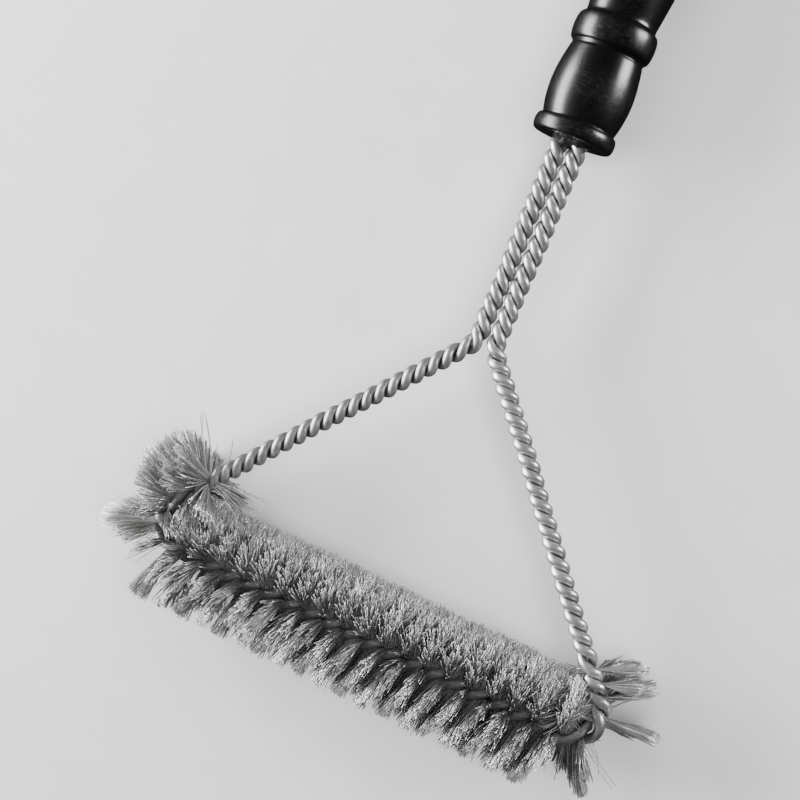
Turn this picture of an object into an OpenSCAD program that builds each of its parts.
// Grill cleaning brush: a turned wooden handle holding one long twisted-in-wire
// brush that is bent into a closed triangle. Two steel wires are twisted
// together over their whole length. They clamp the wire filaments along the
// far side of the triangle, round both corners and a little way up each leg.
//
// Axes: X lies along the bristle bar, Y along the handle with the head on the
// -Y side, Z is square to the flat triangle. The origin is on the handle's
// axis, at the middle of the straight band near its tail.

/* [Wire] */
// Diameter of each of the two steel wires
wire_d = 3.6; // [3.2:0.05:3.6]
// Distance between the wire centres, through the middle of the twisted pair
pair_gap = 3.85; // [3.85:0.01:3.95]
// Length of one full twist where the pair is bare
bare_pitch = 11; // [11:0.25:16]
// Length of one full twist where the pair clamps filaments
fill_pitch = 17.2; // [14:0.1:22]
// Length of one full twist round the corner bends, where the wires open up
corner_pitch = 25.8; // [18:0.1:32]

/* [Head] */
// Half the triangle's base, measured to where its straight sides would meet
half_base = 103; // [85:1:120]
// Height of the triangle, measured the same way
tri_height = 123; // [100:1:140]
// From the handle's front face to where the two legs would meet
stem_len = 74.8; // [60:0.1:110]
// Distance between the two twisted pairs in the stem
stem_gap = 7.1; // [7.1:0.1:8]
// Bend radius at the two corners of the base
corner_r = 10.5; // [9:0.5:14]
// Bend radius where the stem splits into the legs
split_r = 10; // [8:0.5:14]

/* [Fill] */
// Length of a filament from the wire's axis to its tip
fill_r = 22.5; // [18:0.5:26]
// How far the fill runs up each leg past the corner bend
leg_fill = 17; // [12:1:24]
// Depth of the valleys between the rows of filaments
row_depth = 2.2; // [1:0.2:3]

/* [Handle] */
// Length of the handle
handle_len = 218; // [200:1:240]
// Radius of the flange and of the ring bead
bead_r = 15.3; // [14.6:0.1:15.6]
// Radius of the straight band near the tail
band_r = 15.6; // [15.4:0.1:16.4]
// Length of the straight band
band_len = 14; // [10:1:18]
// Depth of the blind bore that takes the wires
bore_depth = 58; // [45:1:65]
// Radius of the blind bore
bore_r = 7.7; // [7.6:0.1:8]

/* [Hanging ring] */
// Radius of the ring, to the middle of its wire
ring_r = 13.4; // [13:0.1:13.8]
// Diameter of the ring's wire
ring_wire = 2.6; // [2:0.1:2.8]
// Radius of the cross hole in the tail
eye_r = 3.3; // [3.2:0.1:3.6]

/* [Hidden] */

$fn = 96;

// ---- Frame: a station is a distance along Y from the handle's front face,
// positive towards the tail
band_start = handle_len - 73;
band_end = band_start + band_len;
band_mid = band_start + band_len / 2;
eye_station = handle_len - 8.5;

// Pieces are drawn from the front face, then moved to the origin
module placed() { translate([0, -band_mid, 0]) children(); }

// Stands a solid drawn along +Z along +Y instead
module along_y() { rotate([-90, 0, 0]) children(); }

// ---- Centre line of the twisted pair, in the plane Z = 0. The right half is
// described; the left half mirrors it. Headings are counter-clockwise from +X.
function ahead(heading) = [cos(heading), sin(heading)];
function right_of(heading) = [sin(heading), -cos(heading)];
function arc_length(radius, angle) = radius * angle * PI / 180;
function arc_angle(radius, length) = length / radius * 180 / PI;

base_station = -stem_len - tri_height;
leg_angle = atan2(half_base, tri_height); // between a leg and the Y axis
leg_heading = 90 + leg_angle;

// From each bend's ends to where its two straight lines would meet
corner_tangent = corner_r * tan(leg_heading / 2);
split_tangent = split_r * tan(leg_angle / 2);

half_bar = half_base - corner_tangent;
leg_whole = (half_base - stem_gap / 2) / sin(leg_angle);
leg_len = leg_whole - corner_tangent - split_tangent;
// The straight stem runs from the end of the split bend to near the bore's bottom
stem_start = -stem_len - stem_gap / 2 / tan(leg_angle) + split_tangent;
stem_end = bore_depth - 4;

corner_centre = [half_bar, base_station + corner_r];
leg_start = corner_centre + corner_r * right_of(leg_heading);
leg_end = leg_start + leg_len * ahead(leg_heading);
split_centre = leg_end + split_r * right_of(leg_heading);

// Lengths along the line, from the middle of the bar to the end of each run
to_bar_end = half_bar;
to_corner_end = to_bar_end + arc_length(corner_r, leg_heading);
to_leg_end = to_corner_end + leg_len;
to_split_end = to_leg_end + arc_length(split_r, leg_angle);
to_wire_end = to_split_end + stem_end - stem_start;
to_fill_end = to_corner_end + leg_fill;

// Heading and point of the right half at a length >= 0
function half_heading(length) =
    length < to_bar_end ? 0 :
    length < to_corner_end ? arc_angle(corner_r, length - to_bar_end) :
    length < to_leg_end ? leg_heading :
    length < to_split_end ? leg_heading - arc_angle(split_r, length - to_leg_end) :
                            90;
function half_point(length) = let (heading = half_heading(length))
    length < to_bar_end ? [length, base_station] :
    length < to_corner_end ? corner_centre + corner_r * right_of(heading) :
    length < to_leg_end ? leg_start + (length - to_corner_end) * ahead(heading) :
    length < to_split_end ? split_centre - split_r * right_of(heading) :
                            [stem_gap / 2, stem_start + length - to_split_end];

// The same over the whole line; lengths are negative on the left half
function line_heading(length) = length < 0 ? -half_heading(-length) : half_heading(length);
function line_point(length) = let (point = half_point(abs(length)))
    [length < 0 ? -point[0] : point[0], point[1]];

// ---- Twist: tight on bare wire, open in the fill and most open at the corners
open_start = to_bar_end - 2.5;
open_end = to_corner_end + 8;
// Turns made by the start and end of the open zone and by the end of the fill
open_start_turns = open_start / fill_pitch;
open_end_turns = open_start_turns + (open_end - open_start) / corner_pitch;
fill_end_turns = open_end_turns + (to_fill_end - open_end) / fill_pitch;

function turns_at(length) =
    length < open_start ? length / fill_pitch :
    length < open_end ? open_start_turns + (length - open_start) / corner_pitch :
    length < to_fill_end ? open_end_turns + (length - open_end) / fill_pitch :
                           fill_end_turns + (length - to_fill_end) / bare_pitch;
function length_at(turns) =
    turns < open_start_turns ? turns * fill_pitch :
    turns < open_end_turns ? open_start + (turns - open_start_turns) * corner_pitch :
    turns < fill_end_turns ? open_end + (turns - open_end_turns) * fill_pitch :
                             to_fill_end + (turns - fill_end_turns) * bare_pitch;

// The two halves are twisted a little unevenly, so that in the stem the pairs
// end up about a quarter turn apart and nest.
// Columns: length from the middle of the bar, half turns gained by there
drift_right = [
    [106, 0], [124, 0.30], [160, 0.31], [185, 0.42], [226, 0.84],
    [232.5, 0.96], [241, 0.82], [265, 0.80], [285, 0.75], [375, 0.75]];
drift_left = [
    [104, 0], [121, 0.42], [133, 0.60], [157, 0.22], [172, 0.12],
    [195, 0.06], [210, -0.03], [228, -0.20], [238, -0.58], [250, -0.66],
    [265, -0.68], [285, -0.72], [310, -0.76], [375, -0.78]];

function twist(length) =
    let (reach = abs(length), drift = lookup(reach, length < 0 ? drift_left : drift_right))
    (length < 0 ? -1 : 1) * (360 * turns_at(reach) + 180 * drift);

// Rings of the wire's cross-section stand at even steps of the undrifted twist
ring_step = 30;
twist_end = 360 * turns_at(to_wire_end);
ring_steps = floor(2 * twist_end / ring_step);
ring_lengths = [for (i = [0:ring_steps])
    let (angle = -twist_end + 2 * twist_end * i / ring_steps)
    (angle < 0 ? -1 : 1) * length_at(abs(angle) / 360)];

// ---- Wire strands: left-hand helices round the centre line
pair_r = pair_gap / 2;
// The hexagonal section's flats face the other wire, so the two stay clear
wire_sides = 6;
wire_corner_r = wire_d / 2 * 1.04;
// Half the distance between the two points that give a strand's direction
tangent_reach = 0.05;

function unit(v) = v / norm(v);
// Unit vector from the centre line to the strand
function outward(length, phase) =
    let (left = -right_of(line_heading(length)), angle = twist(length) + phase)
    [left[0] * cos(angle), left[1] * cos(angle), -sin(angle)];
function strand_point(length, phase) =
    [each line_point(length), 0] + pair_r * outward(length, phase);

// One ring of the wire's section, square to the strand
function wire_ring(length, phase) = let (
        centre = strand_point(length, phase),
        along = unit(strand_point(length + tangent_reach, phase)
                     - strand_point(length - tangent_reach, phase)),
        out = outward(length, phase),
        out_square = unit(out - (out * along) * along),
        across = cross(along, out_square))
    [for (k = [0:wire_sides - 1]) let (angle = 360 * (k + 0.5) / wire_sides)
        centre + wire_corner_r * (cos(angle) * out_square + sin(angle) * across)];

module strand(phase) {
    last = len(ring_lengths) - 1;
    points = [for (length = ring_lengths) each wire_ring(length, phase)];
    faces = [
        for (i = [0:last - 1], k = [0:wire_sides - 1])
            let (a = i * wire_sides + k, b = i * wire_sides + (k + 1) % wire_sides)
            each [[a, a + wire_sides, b], [b, a + wire_sides, b + wire_sides]],
        [for (k = [0:wire_sides - 1]) k],
        [for (k = [wire_sides - 1:-1:0]) last * wire_sides + k]];
    polyhedron(points, faces, convexity = 12);
}

module wire_strand_a() { color([0.72, 0.72, 0.71]) placed() strand(0); }
module wire_strand_b() { color([0.64, 0.64, 0.63]) placed() strand(180); }

// ---- Handle. Its profile is a list of [radius, station].
// Curves from (u0, r0), which is left out, to (u1, r1) in n steps.
// Smooth at both ends
function blend(u0, r0, u1, r1, n) = [for (i = [1:n]) let (t = i / n)
    [r0 + (r1 - r0) * (1 - cos(180 * t)) / 2, u0 + (u1 - u0) * t]];
// Quick at first, level at the end
function rise(u0, r0, u1, r1, n) = [for (i = [1:n]) let (t = i / n)
    [r0 + (r1 - r0) * pow(sin(90 * t), 0.75), u0 + (u1 - u0) * t]];
// Level at first, then steepening
function fall(u0, r0, u1, r1, n) = [for (i = [1:n]) let (t = i / n)
    [r1 + (r0 - r1) * cos(90 * t), u0 + (u1 - u0) * t]];
// Opens out at once and slows towards the end
function flare(u0, r0, u1, r1, n) = [for (i = [1:n]) let (t = i / n)
    [r0 + (r1 - r0) * (0.7 * sin(90 * t) + 0.3 * t), u0 + (u1 - u0) * t]];
// Rounded bead from u0 to u1, standing on radius r0 and reaching r1
function bead(u0, u1, r0, r1, n) = [for (i = [0:n]) let (angle = 180 * i / n)
    [r0 + (r1 - r0) * pow(sin(angle), 0.62), u0 + (u1 - u0) * (1 - cos(angle)) / 2]];

dish_depth = 0.7;
bead_foot_r = bead_r - 1.5;
barrel_start = 6.35;
barrel_start_r = bead_r - 1.85;
barrel_mid = 18.5;
barrel_end = 31.2;
groove_station = 32.6;
groove_lip_r = bead_r - 1.6;
neck_r = bead_r - 1.95;
grip_start = 46;
grip_start_r = neck_r - 0.3;
belly_station = 84;
belly_r = 16.5;
waist_station = 128;
waist_r = 14.6;
// V-grooves at both ends of the band: depth, and half the width
band_groove = 0.8;
taper_start = band_end + 2 * band_groove;
taper_end = handle_len - 19;
taper_end_r = 8.9;
dome_len = 9;
dome_start = handle_len - dome_len;
dome_r = 8.7;

function handle_profile() = concat(
    // slightly dished front face, then the flange
    [[0, dish_depth], [bore_r + 1.2, 0.6], [bead_r - 3.2, 0.15]],
    bead(0, 6, bead_foot_r, bead_r, 14),
    // barrel
    [[barrel_start_r, barrel_start]],
    rise(barrel_start, barrel_start_r, barrel_mid, bead_r, 9),
    fall(barrel_mid, bead_r, barrel_end, bead_r - 1.55, 9),
    // step and V-groove
    [[groove_lip_r, groove_station - 1], [neck_r, groove_station],
     [groove_lip_r, groove_station + 1]],
    // ring bead and neck
    bead(33.9, 43.7, bead_foot_r, bead_r, 18),
    [[neck_r - 0.2, 44.7], [grip_start_r, grip_start]],
    // grip
    flare(grip_start, grip_start_r, belly_station, belly_r, 16),
    blend(belly_station, belly_r, waist_station, waist_r, 12),
    blend(waist_station, waist_r, band_start - 2 * band_groove, band_r, 8),
    // band between its grooves
    [[band_r - band_groove, band_start - band_groove], [band_r, band_start],
     [band_r, band_end], [band_r - band_groove, band_end + band_groove],
     [band_r, taper_start]],
    // tail and its domed end, which stops just short of the axis
    blend(taper_start, band_r, taper_end, taper_end_r, 12),
    blend(taper_end, taper_end_r, dome_start, dome_r, 4),
    [for (i = [1:10]) let (angle = 90 * i / 10)
        [dome_r * cos(angle) * 0.999 + 0.009, dome_start + dome_len * sin(angle)]],
    [[0, handle_len]]);

// Cone that eases each mouth of the cross hole
mouth_start = 6.6;
mouth_len = 2.6;
mouth_flare = 1.3;

module handle() {
    color([0.05, 0.05, 0.052]) placed() difference() {
        along_y() rotate_extrude() polygon(handle_profile());
        // blind bore for the wires
        translate([0, -1, 0]) along_y() cylinder(r = bore_r, h = bore_depth + 1);
        // cross hole for the ring
        translate([0, eye_station, 0]) rotate([0, 90, 0])
            cylinder(r = eye_r, h = 40, center = true);
        for (turn = [0, 180])
            translate([0, eye_station, 0]) rotate([0, 90 + turn, 0])
                translate([0, 0, mouth_start])
                    cylinder(r1 = eye_r, r2 = eye_r + mouth_flare, h = mouth_len);
    }
}

// ---- Adhesive plug
// Hole for one twisted pair: slightly tighter than the pair, which it grips
pair_hole = pair_r + wire_d / 2 - 0.12;
plug_r = bore_r - 0.02;
plug_len = bore_depth - 0.75;
// Fillet squeezed out on the dished face, as [radius, station]
fillet_profile = [[0, -1.1], [4.5, -1.0], [6.6, -0.35], [7.3, 0.55], [plug_r, 0.75], [0, 0.75]];

module adhesive_plug() {
    hole_start = -3;
    color([0.16, 0.15, 0.14]) placed() difference() {
        union() {
            translate([0, dish_depth, 0]) along_y() cylinder(r = plug_r, h = plug_len);
            along_y() rotate_extrude() polygon(fillet_profile);
        }
        for (side = [-1, 1])
            translate([side * stem_gap / 2, hole_start, 0]) along_y()
                cylinder(r = pair_hole, h = stem_end - hole_start);
    }
}

// ---- Fill: rows of filaments half a twist apart
row_pitch = fill_pitch / 2;
valley_r = fill_r - row_depth;

// Profile of a straight run of fill, as [radius, length]; it dips between rows
function rows(run) = let (n = max(1, round(run / row_pitch)), width = run / n) concat(
    [[pair_hole, 0]],
    [for (i = [0:n - 1])
        each [[valley_r, i * width], [fill_r, (i + 0.3) * width], [fill_r, (i + 0.7) * width]]],
    [[valley_r, run], [pair_hole, run]]);

// The side of the right corner's bisecting plane that holds the bar (1) or the leg (-1)
module bisector_side(side) {
    clearance = 0.05;
    depth = 120;
    translate([half_base, base_station, 0]) rotate([0, 0, 180 - (90 - leg_angle) / 2])
        translate([-40, side > 0 ? clearance : -depth - clearance, -depth / 2])
            cube([260, depth, depth]);
}

module bristles_bar() {
    color([0.55, 0.55, 0.54]) placed() intersection() {
        translate([-half_bar, base_station, 0]) rotate([0, 90, 0])
            rotate_extrude() polygon(rows(2 * half_bar));
        bisector_side(1);
        mirror([1, 0, 0]) bisector_side(1);
    }
}

// Fill round the outside of the right corner bend
module corner_fill() {
    end_gap = 0.25; // degrees left free at each end
    axis_gap = 0.6; // kept clear of the bend's own axis
    translate([corner_centre[0], corner_centre[1], 0])
        rotate([0, 0, -90 + end_gap])
            rotate_extrude(angle = leg_heading - 2 * end_gap) difference() {
                translate([corner_r, 0]) circle(r = fill_r - row_depth / 2);
                translate([corner_r, 0]) circle(r = pair_hole);
                translate([-100 + axis_gap, -50]) square([100, 100]);
            }
}
module bristles_right_corner() { color([0.6, 0.6, 0.59]) placed() corner_fill(); }
module bristles_left_corner() {
    color([0.6, 0.6, 0.59]) placed() mirror([1, 0, 0]) corner_fill();
}

// Fill at the foot of the right leg
module leg_fill_solid() {
    intersection() {
        translate([leg_start[0], leg_start[1], 0]) rotate([0, 0, leg_angle]) along_y()
            rotate_extrude() polygon(rows(leg_fill));
        bisector_side(-1);
    }
}
module bristles_right_leg() { color([0.5, 0.5, 0.49]) placed() leg_fill_solid(); }
module bristles_left_leg() {
    color([0.5, 0.5, 0.49]) placed() mirror([1, 0, 0]) leg_fill_solid();
}

// ---- Hanging ring. Its curve crosses the straight hole: this offset towards the
// head shares the play between the hole's middle and its mouths.
ring_slack = eye_r - ring_wire / 2 - 0.35;

module hang_ring() {
    color([0.75, 0.75, 0.74]) placed() translate([0, eye_station - ring_slack + ring_r, 0])
        rotate_extrude() translate([ring_r, 0]) circle(d = ring_wire, $fn = 48);
}

handle();
adhesive_plug();
wire_strand_a();
wire_strand_b();
bristles_bar();
bristles_left_corner();
bristles_right_corner();
bristles_left_leg();
bristles_right_leg();
hang_ring();
